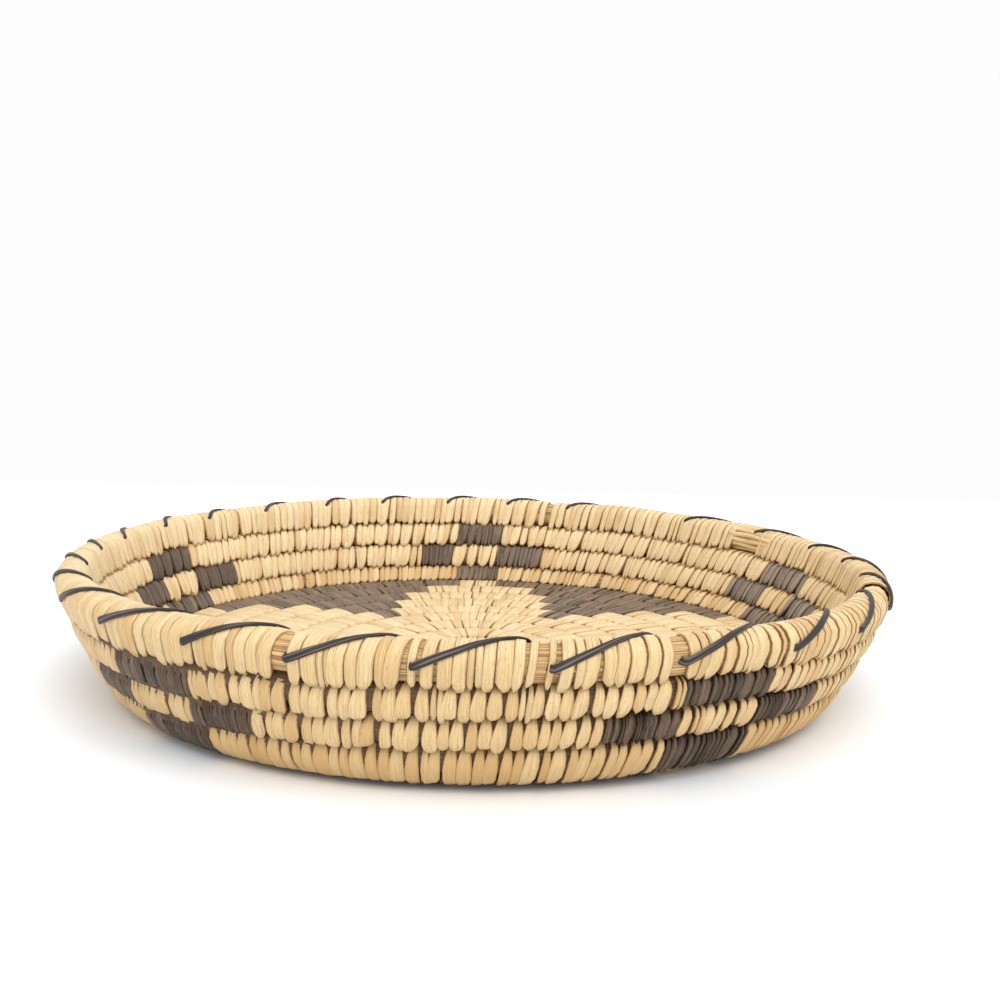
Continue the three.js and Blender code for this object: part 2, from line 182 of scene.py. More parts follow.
paleStrip = {
    "cream": (0.88, 0.685, 0.375), "straw": (0.80, 0.57, 0.28), "ochre": (0.60, 0.36, 0.13),
    # painted light: a paler cream for the strips' inner parts, inside the tray, where it is lit
    "brown": (0.26, 0.125, 0.04), "paintedLightCream": (0.98, 0.80, 0.505),
    "fibres": (5.5, 2.2, 61, 17, 3, 0.6), "fine": (17, 3.5, 23, 41, 2, 0.6),
    "patches": (0.8, 5, 11, 29), "specks": (9, 22, 47, 53, 2, 0.55),
    "creamStrips": (0.15, 0.85), "paintedLightInside": (0.42, 0.58, 0.65), "ochreOutside": (0.42, 0.36, 0.16),
    "ochreStrips": (-0.02, 0.45, 0.8), "patchShare": 0.5,
    "ochreFibres": (0.42, 0.68, 0.5), "brownFine": (0.52, 0.70, 0.7), "brownSpecks": (0.60, 0.74, 0.7),
    # the dark strip edges are partly cracks and dirt, partly painted shade where one strip overlaps the next
    "edge": (0.84, 0.98, 0.85), "ochreEdge": (0.42, 0.58), "tips": (0.38, 0.5), "tipShare": 0.45,
    "roughness": 0.4, "roughnessSpread": 0.22, "roughnessFine": (0.2, 0.9),
    "fibreHeight": 0.6, "fineHeight": 0.4, "bumpDepth": 0.00035, "bumpStrength": 0.8,
}


def makePaleStrip(spec):
    look = Finish("paleStrip", spec["roughness"])
    across, along = look.stripPlace()
    seed, tone, lowOchre = (look.attribute(name) for name in ("seed", "tone", "lowOchre"))
    fibres, fine, patches, specks = (
        look.grain(across, along, seed, *spec[key]) for key in ("fibres", "fine", "patches", "specks"))
    base = look.tint(spec["straw"], spec["cream"], tone, *spec["creamStrips"])
    # painted light: the strips' inner parts, inside the tray, are painted paler
    base = look.tint(base, spec["paintedLightCream"], along, *spec["paintedLightInside"])
    base = look.tint(base, spec["ochre"], tone * -1 + patches * spec["patchShare"], *spec["ochreStrips"])
    base = look.tint(base, spec["ochre"], fibres, *spec["ochreFibres"])
    base = look.tint(base, spec["brown"], fine, *spec["brownFine"])
    base = look.tint(base, spec["brown"], specks, *spec["brownSpecks"])
    base = look.tint(base, spec["ochre"], along, *spec["ochreOutside"])
    edge = look.tint(spec["brown"], spec["ochre"], along, *spec["ochreEdge"])
    # darker edges: partly cracks and dirt, partly painted shade where one strip overlaps the next
    base = look.tint(base, edge, abs(across), *spec["edge"])
    # the strips' ends, and the lower strips of the wall, turn more ochre and darker
    tips = look.stretch(abs(along - 0.5), *spec["tips"]) * spec["tipShare"] + lowOchre
    base = look.mix(tips, base, spec["ochre"])
    height = fibres * spec["fibreHeight"] + fine * spec["fineHeight"]
    rough = look.stretch(fine, *spec["roughnessFine"]) * spec["roughnessSpread"] + spec["roughness"]
    return look.finish(spec, base, height, rough)


darkStrip = {
    # the lighter worn colour is partly wear, partly a painted highlight along the ridges
    "brown": (0.105, 0.060, 0.033), "charcoal": (0.036, 0.023, 0.016), "wornAndSheen": (0.42, 0.30, 0.215),
    "sheenInsideBrown": (0.25, 0.182, 0.13), "sheenInsideGrey": (0.165, 0.127, 0.098),  # painted sheen: inside the tray the dark strips are painted lighter
    "wallShadedLeft": (0.07, 0.05, 0.037), "wallSheenRight": (0.48, 0.39, 0.31),  # painted shade and sheen high inside the wall: darker at the left, lighter to the right, where the light falls
    "wallSheenAcross": (-0.02, 0.10), "wallSheenHeight": (0.011, 0.022, 0.75),  # where it does so, in metres
    "ridges": (5.5, 1.6, 61, 17), "fine": (15, 9, 23, 41, 3, 0.65),
    "brownStrips": (0.2, 0.8), "inside": (0.46, 0.6),
    "wornAndSheenFine": (0.46, 0.72, 0.6), "wornAndSheenRidges": (0.52, 0.70, 0.6), "darkFine": (0.5, 0.34, 0.5),
    "edge": (0.76, 1.0, 0.7), "specular": 0.22,
    "roughness": 0.3, "roughnessSpread": 0.3, "roughnessFine": (0.2, 0.9),
    "ridgeHeight": 0.75, "fineHeight": 0.25, "bumpDepth": 0.0006, "bumpStrength": 1.0,
}


def makeDarkStrip(spec):
    look = Finish("darkStrip", spec["roughness"], spec["specular"])
    across, along = look.stripPlace()
    seed, tone = (look.attribute(name) for name in ("seed", "tone"))
    ridges, fine = (look.grain(across, along, seed, *spec[key]) for key in ("ridges", "fine"))
    outside = look.tint(spec["charcoal"], spec["brown"], tone, *spec["brownStrips"])
    # painted sheen: inside the tray the dark strips take lighter, greyer colours
    inside = look.tint(spec["sheenInsideGrey"], spec["sheenInsideBrown"], tone, *spec["brownStrips"])
    # painted shade and sheen: high on the inside wall the dark strips go from dark at the left to light at
    # the right
    right, high = look.axes(look.node("ShaderNodeTexCoord", out="Object"), "X", "Z")
    wall = look.tint(spec["wallShadedLeft"], spec["wallSheenRight"], right, *spec["wallSheenAcross"])
    inside = look.tint(inside, wall, high, *spec["wallSheenHeight"])
    base = look.tint(outside, inside, along, *spec["inside"])
    # partly wear, partly a painted highlight: lighter streaks on the ridges
    base = look.tint(base, spec["wornAndSheen"], fine, *spec["wornAndSheenFine"])
    base = look.tint(base, spec["wornAndSheen"], ridges, *spec["wornAndSheenRidges"])
    base = look.tint(base, spec["charcoal"], fine, *spec["darkFine"])
    base = look.tint(base, spec["charcoal"], abs(across), *spec["edge"])
    height = ridges * spec["ridgeHeight"] + fine * spec["fineHeight"]
    rough = look.stretch(fine, *spec["roughnessFine"]) * spec["roughnessSpread"] + spec["roughness"]
    return look.finish(spec, base, height, rough)


grassStraw = {
    "pale": (0.80, 0.56, 0.26), "brown": (0.36, 0.19, 0.07), "dark": (0.07, 0.034, 0.015),
    "straws": (34, 1.5, 3.1), "knots": (3, 7, 8.4),  # noises: fineness across and along, shift in depth
    "strawDetail": 3, "strawRoughness": 0.6,
    "paleStraws": (0.42, 0.62), "darkKnots": (0.5, 0.75, 0.5),
    # where along the map the rim row ends, past which the straws are painted dark: painted shade for the dark
    # between rows
    "rimEnd": 14.3, "darkOver": 0.5, "paintedShadeShare": 0.85,
    "inside": (-0.05, 0.05), "lighterInside": 0.5,  # across the map the inside is the positive half
    "roughness": 0.7, "bumpDepth": 0.0005, "bumpStrength": 0.9,
}


def makeGrassStraw(spec):
    look = Finish("grassStraw", spec["roughness"])
    across, along = look.stripPlace()
    straws, knots = (look.point(across * fineAcross, along * fineAlong, shift)
                     for fineAcross, fineAlong, shift in (spec["straws"], spec["knots"]))
    straws, knots = look.noise(straws, spec["strawDetail"], spec["strawRoughness"]), look.noise(knots)
    base = look.tint(spec["brown"], spec["pale"], straws, *spec["paleStraws"])
    base = look.tint(base, spec["dark"], knots, *spec["darkKnots"])
    # painted shade: past the rim row the straws are darkened, less on the inside half
    paintedShadeShare = spec["paintedShadeShare"] - look.stretch(across, *spec["inside"]) * spec["lighterInside"]
    base = look.tint(base, spec["dark"], along, spec["rimEnd"], spec["rimEnd"] + spec["darkOver"], paintedShadeShare)
    return look.finish(spec, base, straws)


darkStrand = {
    "charcoal": (0.030, 0.023, 0.021), "wornAndSheen": (0.24, 0.19, 0.165), "specular": 0.3,
    "fibres": (4.5, 6), "wornAndSheenFibres": (0.52, 0.64, 0.6),  # the noise's fineness across and along
    "roughness": 0.36, "roughnessSpread": 0.3, "roughnessFibres": (0.3, 0.8),
    "bumpDepth": 0.0005, "bumpStrength": 0.9,
}


def makeDarkStrand(spec):
    look = Finish("darkStrand", spec["roughness"], spec["specular"])
    across, along = look.stripPlace()
    fineAcross, fineAlong = spec["fibres"]
    fibres = look.noise(look.point(across * fineAcross, along * fineAlong, 0))
    # partly worn fibres, partly a painted highlight: lighter streaks along the strand
    base = look.tint(spec["charcoal"], spec["wornAndSheen"], fibres, *spec["wornAndSheenFibres"])
    rough = look.stretch(fibres, *spec["roughnessFibres"]) * spec["roughnessSpread"] + spec["roughness"]
    return look.finish(spec, base, fibres, rough)


finishes = {
    "pale_strips": makePaleStrip(paleStrip), "dark_strips": makeDarkStrip(darkStrip),
    "grass_bundle": makeGrassStraw(grassStraw), "lashing_strand": makeDarkStrand(darkStrand),
}
print("finishes made")


# The coil's course. A place is counted in turns from the coil's end at the rim, and a level in rows down the
# wall and in across the floor. Row 0 is the rim.

coil = {
    "rimRadius": 140, "wallLength": 37.2, "leanTop": 15, "leanFoot": 31, "bendRadius": 10,
    "wallPitch": 9.9, "rimRow": 11.2, "floorPitch": 12.4, "thickness": 11.2, "rimThickness": 11.6,
    "knotRadius": 7, "endDirection": 0, "wallRows": 4,
    "tailTurn": 0.06, "tailReach": 0.75,  # length of the taper in turns, and how much of it the coil keeps
    "startTurn": 0.84,
    "steppedRows": 3,  # so many rows rise in one step at the tail; further in the climb spreads over the turn
    "thinRow": 0.9,  # rows lower than this share of a whole one are also thinner
}
handmade = {  # how the tray is out of round and wavy at the rim, fading to nothing at the foot
    "rimHeight": 45, "roundness": (1.93, -0.87), "waves": (-0.81, -0.34),
    # small ripples: waves a turn, where they start in radians, and their share
    "ripple": 0.3, "ripples": [(7, 1.2, 1), (11, 3.0, 0.7), (19, 0, 0.5)],
    "rippleOut": 0.5, "rippleUp": (5, 2),
    # on the outside the stitches' ends drift down the wall at the left front and up it at the right front
    "drift": [(0, 0), (195, 0.8), (228, 1.7), (265, -0.6), (308, -3.0), (338, -1.0), (360, 0)],
    "rimDrift": 0.5,  # the rim's share of it
}


def walkArc(r, z, length, leanFrom, leanTo):
    mean, half = (leanFrom + leanTo) / 2, (leanTo - leanFrom) / 2
    chord = length * np.sinc(half / math.pi)
    return r - chord * np.sin(mean), z - chord * np.cos(mean)


leanTop, leanFoot = math.radians(coil["leanTop"]), math.radians(coil["leanFoot"])
bendLength = coil["bendRadius"] * (math.pi / 2 - leanFoot)
footFromTop = walkArc(0, 0, coil["wallLength"], leanTop, leanFoot)
floorFromTop = walkArc(*footFromTop, bendLength, leanFoot, math.pi / 2)
rimReach = coil["rimThickness"] * math.cos(leanTop) - coil["rimRow"] * math.sin(leanTop)
rimTopR = coil["rimRadius"] - rimReach / 2
rimTopZ = coil["thickness"] / 2 - floorFromTop[1]
floorEdge = rimTopR + floorFromTop[0]
rimBottomLevel = 0.5
rimTopLevel = rimBottomLevel - coil["rimRow"] / coil["wallPitch"]
floorLevel = rimTopLevel + (coil["wallLength"] + bendLength) / coil["wallPitch"]
turns = round((floorEdge - coil["knotRadius"]) / coil["floorPitch"] + floorLevel + 0.5)
knotLevel = turns - 0.5
floorPitch = (floorEdge - coil["knotRadius"]) / (knotLevel - floorLevel)
tailPlace = -coil["tailReach"] * coil["tailTurn"]
startPlace = turns - 1 + coil["startTurn"]


def placeLevel(level):  # where the middle of the wall's thickness is, and its lean
    down = (level - rimTopLevel) * coil["wallPitch"]
    wallLean = leanTop + (leanFoot - leanTop) * down / coil["wallLength"]
    wallR, wallZ = walkArc(rimTopR, rimTopZ, down, leanTop, wallLean)
    past = down - coil["wallLength"]
    bendLean = leanFoot + (math.pi / 2 - leanFoot) * past / bendLength
    bendR, bendZ = walkArc(rimTopR + footFromTop[0], rimTopZ + footFromTop[1], past, leanFoot, bendLean)
    floorR = floorEdge - (level - floorLevel) * floorPitch
    onWall, onBend = past < 0, (past >= 0) & (level < floorLevel)
    pick = lambda wall, bend, flat: np.where(onWall, wall, np.where(onBend, bend, flat))
    return (pick(wallR, bendR, floorR), pick(wallZ, bendZ, coil["thickness"] / 2),
            pick(wallLean, bendLean, math.pi / 2))


def ease(value, low, high):
    share = np.clip((value - low) / (high - low), 0, 1)
    return share * share * (3 - 2 * share)


def tailRise(turn):
    return ease(turn, 1 - coil["tailTurn"], 1)


def boundaryBelow(place):
    row = np.floor(place)
    turn = place - row
    even = np.clip((place - coil["steppedRows"]) / (turns - 2 * coil["steppedRows"]), 0, 1)
    wound = row + even * turn + (1 - even) * tailRise(turn) + 0.5
    wound = np.where(place > turns - 1, knotLevel, wound)
    return np.where(place < 0, rimTopLevel + (rimBottomLevel - rimTopLevel) * tailRise(place + 1), wound)


def coilEdges(place):
    top = np.where(place < 1 - coil["tailTurn"], rimTopLevel, boundaryBelow(place - 1))
    return top, boundaryBelow(place)


def thinning(top, bottom, least):  # how the coil gets thinner with its height where it tapers
    return np.clip((bottom - top) / coil["thinRow"], least, 1)


def halfThickness(place):
    rimShare = 1 - ease(place, 1 - coil["tailTurn"], 1)
    return (coil["thickness"] + (coil["rimThickness"] - coil["thickness"]) * rimShare) / 2


def direction(place):
    return math.radians(coil["endDirection"]) + fullTurn * place


def placeOf(degrees):  # in turns, on the rim row
    return (degrees - coil["endDirection"]) / 360


# radius and height of a point of the section: down in half rows, out in millimetres
def besideMiddle(top, bottom, down, out):
    r, z, lean = placeLevel((top + bottom) / 2 + down * (bottom - top) / 2)
    return r + out * np.cos(lean), z - out * np.sin(lean)


def inSection(place, down, out):
    return besideMiddle(*coilEdges(place), down, out)


def inSpace(angle, r, z):  # the handmade shape, in metres
    share = z / handmade["rimHeight"]
    roundA, roundB = handmade["roundness"]
    waveA, waveB = handmade["waves"]
    liftWaves, liftStart = handmade["rippleUp"]
    swing = sum(part * np.sin(waves * angle + start) for waves, start, part in handmade["ripples"])
    ripple = handmade["ripple"]
    around, aside = np.cos(2 * angle), np.sin(2 * angle)
    r = r + share * (roundA * around + roundB * aside) + handmade["rippleOut"] * ripple * swing * share
    lift = waveA * around + waveB * aside + ripple * np.sin(liftWaves * angle + liftStart) * swing
    z = np.maximum(z + share * lift, 0)
    return np.stack([r * np.cos(angle), r * np.sin(angle), z], -1) * mm


# making pieces

def deselectAll():
    if bpy.context.object and bpy.context.object.mode != "OBJECT":
        bpy.ops.object.mode_set(mode="OBJECT")
    bpy.ops.object.select_all(action="DESELECT")


def editAll(thing):
    bpy.context.view_layer.objects.active = thing
    bpy.ops.object.mode_set(mode="EDIT")
    bpy.ops.mesh.select_all(action="SELECT")


def takeTemplate():  # the points and faces of the template just modelled, which is then put away
    thing = bpy.context.object
    points = np.array([v.co for v in thing.data.vertices])
    faces = sorted(list(p.vertices) for p in thing.data.polygons)  # bisect gives them in a changing order
    bpy.data.objects.remove(thing)
    return points, faces


def takeRing(sides):  # the angles of a circle's points
    deselectAll()
    bpy.ops.mesh.primitive_circle_add(vertices=sides, radius=1)
    points, _ = takeTemplate()
    return np.arctan2(points[:, 1], points[:, 0])


def tubeFaces(rings, sides):
    ring, side = np.arange(rings - 1)[:, None] * sides, np.arange(sides)[None]
    a, b = (ring + side).reshape(-1), (ring + (side + 1) % sides).reshape(-1)
    walls = np.stack([a, b, b + sides, a + sides], -1).tolist()
    return walls + [list(range(sides))[::-1], list(range((rings - 1) * sides, rings * sides))]


# One mesh of many copies: points is copies x vertices x 3, maps the same with two map coordinates. The faces
# in flat are shaded flat, so that the edges round them stay crisp.
def layCopies(name, points, faces, maps, attributes, slot, node, flat=()):
    count, size = points.shape[:2]
    copy = np.arange(count)[:, None]
    loops = np.concatenate([np.array(f) for f in faces])
    starts = np.cumsum([0] + [len(f) for f in faces])[:-1]
    mesh = bpy.data.meshes.new(name)
    mesh.vertices.add(count * size)
    mesh.vertices.foreach_set("co", points.reshape(-1))
    mesh.loops.add(count * len(loops))
    allLoops = (loops[None] + copy * size).reshape(-1)
    mesh.loops.foreach_set("vertex_index", allLoops)
    mesh.polygons.add(count * len(faces))
    mesh.polygons.foreach_set("loop_start", (starts[None] + copy * len(loops)).reshape(-1))
    mesh.update(calc_edges=True)
    stripMap = mesh.uv_layers.new(name="stripMap")
    stripMap.data.foreach_set("uv", maps.reshape(-1, 2)[allLoops].reshape(-1))
    for key, values in attributes.items():
        layer = mesh.attributes.new(key, "FLOAT", "POINT")
        layer.data.foreach_set("value", np.repeat(values, size).astype(np.float32))
    smooth = np.ones(len(faces), bool)
    smooth[list(flat)] = False
    mesh.polygons.foreach_set("use_smooth", np.tile(smooth, count))
    mesh.validate()
    piece = bpy.data.objects.new(name, mesh)
    bpy.context.scene.collection.objects.link(piece)
    piece.data.materials.append(finishes[slot])
    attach(piece, "root")
    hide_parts(node)
    return piece


# a sewing strip, modelled flat: length along x from 0 to 1, width along y, thickness below z = 0

strip = {
    "rings": 17, "crown": 0.13, "crownDrop": 0.26, "thickness": 0.85, "shingle": 0.3,
    "tips": 0,  # how much further the outer tips hang down, as a share
    # its course round the coil from the outer bite to the inner one: down in half rows, out in half
    # thicknesses, wide in spaces from strip to strip
    "down": [1.04, 1.14, 0.90, 0.60, 0.20, -0.24, -0.64, -0.90, -1.00,
             -0.94, -0.72, -0.30, 0.26, 0.78, 1.14, 1.36, 1.20],
    "out": [0.50, 0.86, 0.99, 1.03, 1.03, 1.00, 0.80, 0.44, 0,
            -0.54, -0.84, -1.0, -1.04, -1.04, -1.0, -0.93, -0.55],
    "wide": [0.42, 0.50, 0.88, 1.05, 1.03, 0.90, 0.72, 0.58, 0.50,
             0.50, 0.70, 1.02, 1.14, 1.12, 0.86, 0.46, 0.30],
    "leanOutside": 0.35, "leanInside": 1.25,  # in strip widths, from the crest to either end
    "darkSplit": 0.55,  # share of the dark strips that are split in two
}
lowestStrip = dict(strip, tips=0.5)  # on the lowest wall row the outer tips hang over the floor's first row
rimStrip = dict(strip, leanInside=0.9, **{
    "down": [1.08, 1.14, 0.86, 0.60, 0.26, -0.18, -0.60, -0.90, -1.02,
             -0.92, -0.66, -0.24, 0.34, 0.82, 1.14, 1.34, 1.18],
    "out": [0.45, 0.86, 0.98, 1.0, 1.0, 1.0, 0.85, 0.46, 0,
            -0.46, -0.84, -1.0, -1.0, -1.0, -0.98, -0.92, -0.55],
    "wide": [0.42, 0.50, 0.86, 0.98, 0.99, 0.99, 0.98, 0.97, 0.97,
             0.98, 1.0, 1.02, 1.02, 1.0, 0.82, 0.44, 0.28],
    "thinAt": [264.6, 276.8, 278.9, 308.2],  # directions of narrow strips
})
floorStrip = dict(strip, shingle=0.2, leanInside=0.35, darkSplit=0, **{
    "down": [1.30, 1.18, 0.92, 0.50, 0, -0.45, -0.78, -0.94, -1.02,
             -0.99, -0.88, -0.50, 0, 0.50, 0.94, 1.20, 1.24],
    "out": [0.60, 0.88, 0.96, 0.97, 0.97, 0.95, 0.80, 0.44, 0,
            -0.60, -0.88, -0.99, -1.02, -1.01, -0.98, -0.90, -0.50],
    "wide": [0.70, 0.90, 1.0, 1.0, 1.0, 0.96, 0.90, 0.86, 0.85,
             0.94, 1.0, 1.05, 1.06, 1.06, 1.05, 0.98, 0.74],
})


def makeStripTemplate(spec):
    deselectAll()
    bpy.ops.mesh.primitive_cube_add(size=1, location=(0.5, 0, -0.5))
    thing = bpy.context.object
    for edge in thing.data.edges:  # the two long edges on top
        ends = [thing.data.vertices[i].co for i in edge.vertices]
        edge.select = all(p.z > 0.4 for p in ends) and abs(ends[0].x - ends[1].x) > 0.5
    for face in thing.data.polygons:
        face.select = False
    bpy.context.tool_settings.mesh_select_mode = (False, True, False)
    bpy.ops.object.mode_set(mode="EDIT")
    bpy.ops.mesh.bevel(offset=spec["crown"], segments=1)
    for ring in range(1, spec["rings"] - 1):
        bpy.ops.mesh.select_all(action="SELECT")
        bpy.ops.mesh.bisect(plane_co=(ring / (spec["rings"] - 1), 0, 0), plane_no=(1, 0, 0))
    bpy.ops.object.mode_set(mode="OBJECT")
    bpy.ops.object.transform_apply()
    return takeTemplate()


stripPoints, stripFaces = makeStripTemplate(strip)
stripSides = [i for i, face in enumerate(stripFaces) if stripPoints[face, 2].min() < -1e-4]
print("strip template", len(stripPoints), "points", len(stripFaces), "faces")

stitches = {
    "perTurn": 248.5, "moreAtBack": 30, "floorPitch": 3.15,
    "step": 0.0005,  # turns between the points at which they are counted
    "uneven": 0.4, "narrowing": 0.05, "wander": 0.12, "tilt": 0.5,  # in strip widths
    "split": 0.07, "splitAt": 0.45,  # share of the strips that are split, and where
    "thin": 0.45, "thinReach": 0.8,  # width of the narrow strips, and how near to their directions they are
    "tipWidth": 0.6, "tipShift": 0.3,  # how much the strips' outer tips differ in width and place
    "endRings": (1, 1, 0.5),  # how much of an end's differences its first rings take up
    "outerDown": 0.36, "innerDown": 0.3,  # how much the ends differ in height, in half rows
    "sink": 0.35, "tucked": 0.84,  # how much deeper some lie, and how deep those under the tail
    "thinnest": 0.25, "slant": 1.6, "slantEven": 0.35,
    # how the strips turn more ochre and darker towards the wall's foot
    "lowOchreHeight": 22, "lowOchreFade": 18, "lowOchreMost": 0.9, "lowOchreLeast": 0.3,
}


def stitchPlaces(spec):
    grid = np.arange(tailPlace, startPlace, spec["step"])
    top, bottom = coilEdges(grid)
    radius = placeLevel((top + bottom) / 2)[0]
    onWall = spec["perTurn"] + spec["moreAtBack"] * np.sin(direction(grid))
    perTurn = np.where(grid < coil["wallRows"], onWall, fullTurn * radius / spec["floorPitch"])
    total = np.concatenate([[0], np.cumsum(perTurn[:-1] * spec["step"])])
    borders = np.arange(int(total[-1]) + 1).astype(float)
    borders[1:-1] += (chance.random(len(borders) - 2) - 0.5) * spec["uneven"]
    halved = borders[:-1][chance.random(len(borders) - 1) < spec["split"]] + spec["splitAt"]
    borders = np.interp(np.sort(np.concatenate([borders, halved])), total, grid)
    return (borders[1:] + borders[:-1]) / 2, np.diff(borders)


allPlaces, allWidths = stitchPlaces(stitches)
print(len(allPlaces), "stitches")
stitchSeeds = chance.random((len(allPlaces), 8))


def sewStretch(name, node, slot, start, end, spec, leaveOut=()):
    chosen = (allPlaces >= start) & (allPlaces < end)
    for low, high in leaveOut:
        chosen &= (allPlaces < low) | (allPlaces > high)
    layStrips(name, node, slot, np.flatnonzero(chosen), spec)


def layStrips(name, node, slot, chosen, spec):
    place, seeds, spacing = allPlaces[chosen], stitchSeeds[chosen], allWidths[chosen]
    if slot == "dark_strips":
        split = seeds[:, 7] < spec["darkSplit"]
        place, spacing = place - split * spacing / 4, spacing * np.where(split, 0.5, 1)
        place = np.concatenate([place, place[split] + spacing[split]])
        seeds = np.concatenate([seeds, seeds[split][:, ::-1]])
        spacing = np.concatenate([spacing, spacing[split]])
    rings = spec["rings"]
    down, out, wide = (np.array(spec[key]) for key in ("down", "out", "wide"))
    onRim, onWall = (place < 1)[:, None], place < coil["wallRows"]
    outerEnd = np.zeros(rings)
    outerEnd[:len(stitches["endRings"])] = stitches["endRings"]
    down = down + np.outer(seeds[:, 0] - 0.5, outerEnd) * stitches["outerDown"]
    down = down + np.outer(seeds[:, 1] - 0.5, outerEnd[::-1]) * stitches["innerDown"]
    down = down + spec["tips"] * np.clip(down, 0, 1) * (out > 0)
    drift = np.interp(np.degrees(direction(place)) % 360, *zip(*handmade["drift"])) * onWall
    drift = drift[:, None] * 2 / coil["wallPitch"] * np.where(onRim, handmade["rimDrift"], 1)
    down = down + drift * (np.clip(out, 0, 1) * np.where(onRim, np.clip(down, 0, 1), 1))
    # at the coil's end the rim's strips go round the tail and the turn below it alike
    top, bottom = (np.where(place < 0, whole, edge)[:, None]
                   for whole, edge in zip((rimTopLevel, rimBottomLevel), coilEdges(place)))
    level = (top + bottom) / 2 + down * (bottom - top) / 2
    underTail = (level < rimBottomLevel) & (place > 1 - coil["tailTurn"])[:, None] & onRim
    sink = np.abs(seeds[:, 2] - 0.5)[:, None] * stitches["sink"] * np.sign(out)
    out = out * halfThickness(place)[:, None] * thinning(top, bottom, stitches["thinnest"]) - sink
    out = out * np.where(underTail, stitches["tucked"], 1)
    r, z = besideMiddle(top, bottom, down, out)
    slopeR, slopeZ = np.gradient(r, axis=1), np.gradient(z, axis=1)
    length = np.hypot(slopeR, slopeZ)
    outR, outZ = slopeZ / length, -slopeR / length
    wide = wide * (1 + (seeds[:, 3] - 0.5) * 2 * stitches["narrowing"])[:, None]
    wide = wide * ((spacing * fullTurn)[:, None] * r)
    wide = wide * (1 + np.outer(seeds[:, 5] - 0.5, outerEnd) * stitches["tipWidth"])
    if "thinAt" in spec:
        turned = np.degrees(direction(place))[:, None] % 360
        thin = np.abs(turned - np.array(spec["thinAt"])).min(1) < stitches["thinReach"]
        wide = wide * np.where(thin, stitches["thin"], 1)[:, None]
    # the template's points: those between the two long edges on top are the crown
    ring = np.rint(stripPoints[:, 0] * (rings - 1)).astype(int)
    across, below = stripPoints[:, 1], stripPoints[:, 2]
    crown = spec["crownDrop"] * (np.abs(across) > 0.4) * (below > -0.4)
    depth = (np.minimum(below, 0) - crown) * spec["thickness"] - (across + 0.5) * spec["shingle"]
    run = np.cumsum(length, 1)
    run = run - run[:, rings // 2:rings // 2 + 1]
    run = run / np.where(run < 0, -run[:, :1], run[:, -1:])  # -1 at the outer end, 0 at the crest, 1 inside
    bend = (spec["leanInside"] - spec["leanOutside"]) / 2
    lean = (spec["leanOutside"] + bend) * run + bend * run ** 2
    lean = lean + (seeds[:, 1] - 0.5)[:, None] * stitches["tilt"] * run
    lean = lean + np.outer(seeds[:, 3] - 0.5, outerEnd) * stitches["tipShift"]
    lean = lean * spacing[:, None] * fullTurn
    wander = (seeds[:, 4] - 0.5)[:, None] * stitches["wander"] * spacing[:, None] * fullTurn
    angle = direction(place)[:, None] + (lean + wander)[:, ring] + across * wide[:, ring] / r[:, ring]
    # blunt ends are cut at a slant
    slant = np.where(ring <= 1, 1, 0) - np.where(ring >= rings - 2, 1, 0)
    slantBy = (seeds[:, 5] - stitches["slantEven"])[:, None] * slant * across * stitches["slant"]
    pointR = r[:, ring] + outR[:, ring] * depth + slopeR[:, ring] / length[:, ring] * slantBy
    pointZ = z[:, ring] + outZ[:, ring] * depth + slopeZ[:, ring] / length[:, ring] * slantBy
    maps = np.stack(np.broadcast_arrays(across + 0.5, stripPoints[:, 0], angle)[:2], -1)
    # strips low on the wall are more ochre and darker, the more so the nearer the foot
    low = np.clip((stitches["lowOchreHeight"] - z.mean(1)) / stitches["lowOchreFade"], 0, stitches["lowOchreMost"])
    lowOchre = low * (seeds[:, 7] + stitches["lowOchreLeast"]) * onWall
    attributes = {"tone": seeds[:, 6], "seed": seeds[:, 7], "lowOchre": lowOchre}
    layCopies(name, inSpace(angle, pointR, pointZ), stripFaces, maps, attributes, slot, node, stripSides)


# where each colour is sewn

pattern = {
    # the wall's motifs: direction of the middle, widths of a single block, of the paired ones, of the inlay
    "motifs": [
        (18.6, 12, (9.2, 9.2), 9.4), (89.2, 9, (8.6, 7.2), 8.8), (157.2, 12, (10.2, 10.6), 9),
        (227.1, 14.2, (11.4, 9.8), 12.6), (302, 13.5, (9.8, 12.2), 12),
    ],
    "petals": [24, 89, 157.5, 227, 301],  # directions of the floor star's petals
    "petalShares": [0.13, 0.38, 0.56, 0.72, 0.87],  # how wide they are, row by row from the floor's edge
}


def sewWallRow(row, label, blocks, inlays, spec):
    begin, runs = row, 0
    for block, (middle, width) in enumerate(blocks):
        start = row + placeOf(middle - width / 2)
        if inlays and block % 2 == 1:
            node = f"{label}_inlay_{(block + 1) // 2}"
        else:
            runs += 1
            node = f"{label}_run_{runs}"
        sewStretch(node + "_strips", node, "pale_strips", begin, start, spec)
        begin = start + width / 360
        node = f"{label}_block_{block + 1}"
        sewStretch(node + "_strips", node, "dark_strips", start, begin, spec)
    node = f"{label}_run_{runs + 1}"
    sewStretch(node + "_strips", node, "pale_strips", begin, row + 1, spec)


singles = [(middle, single) for middle, single, paired, inlay in pattern["motifs"]]
pairs = [(middle + side * (width + inlay) / 2, width)
         for middle, single, paired, inlay in pattern["motifs"] for side, width in zip((-1, 1), paired)]
sewWallRow(1, "upper", singles, False, strip)
sewWallRow(2, "middle", pairs, True, strip)
sewWallRow(3, "lower", singles, False, lowestStrip)
print("wall rows sewn")


